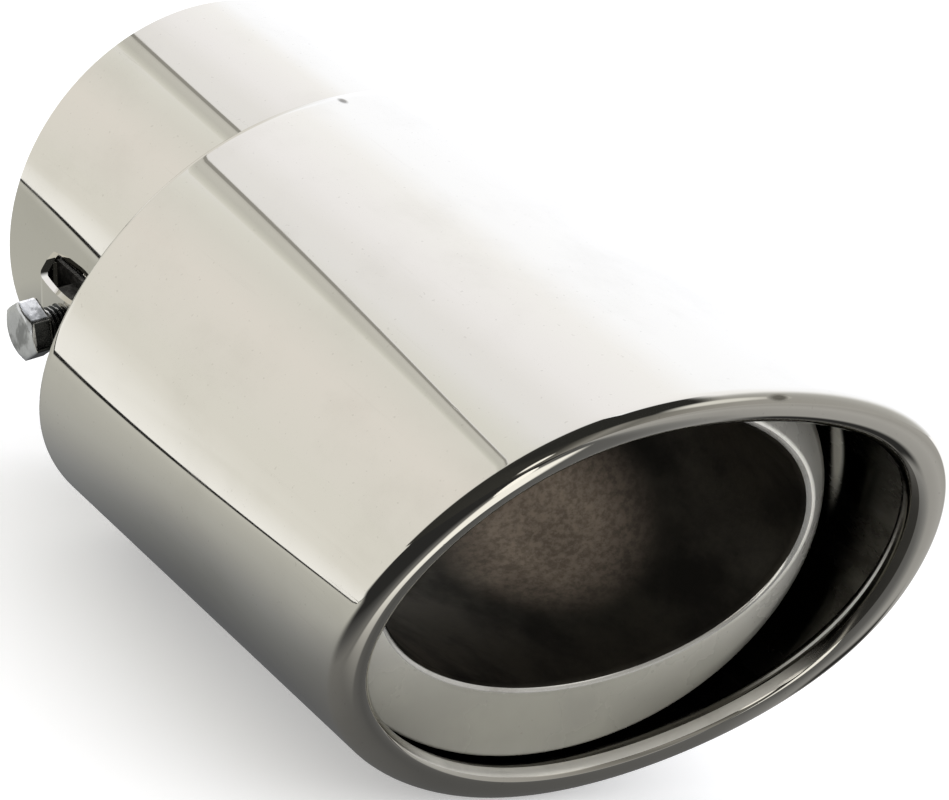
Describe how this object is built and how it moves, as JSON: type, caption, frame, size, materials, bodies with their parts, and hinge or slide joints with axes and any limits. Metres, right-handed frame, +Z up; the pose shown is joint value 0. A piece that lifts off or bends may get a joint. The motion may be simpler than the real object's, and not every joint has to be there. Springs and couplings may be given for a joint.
{
  "type": "exhaust tip",
  "caption": "Clamp-on double-wall exhaust tip with a round inlet collar, an oval slant-cut outlet with a rolled-in lip, a flared inner liner and a radial clamp screw.",
  "frame": {"origin": "centre of the inlet bore at the collar's rear edge", "axes": "+X along the bore axis toward the outlet, +Z up, with the long top edge of the slant cut at the top; the clamp screw is on the -Y side"},
  "size_m": [0.1344, 0.0952, 0.077],
  "materials": {
    "polished_collar": "mirror-polished stainless steel",
    "polished_shell": "mirror-polished stainless steel",
    "liner_steel": "satin stainless steel, dark and sooty inside the duct",
    "zinc_screw": "bright zinc plate",
    "zinc_nut": "bright zinc plate"
  },
  "bodies": {
    "root": {"inlet_collar": "polished_collar", "outer_shell": "polished_shell", "inner_liner": "liner_steel", "clamp_screw": "zinc_screw", "clamp_nut": "zinc_nut"}
  },
  "joints": []
}
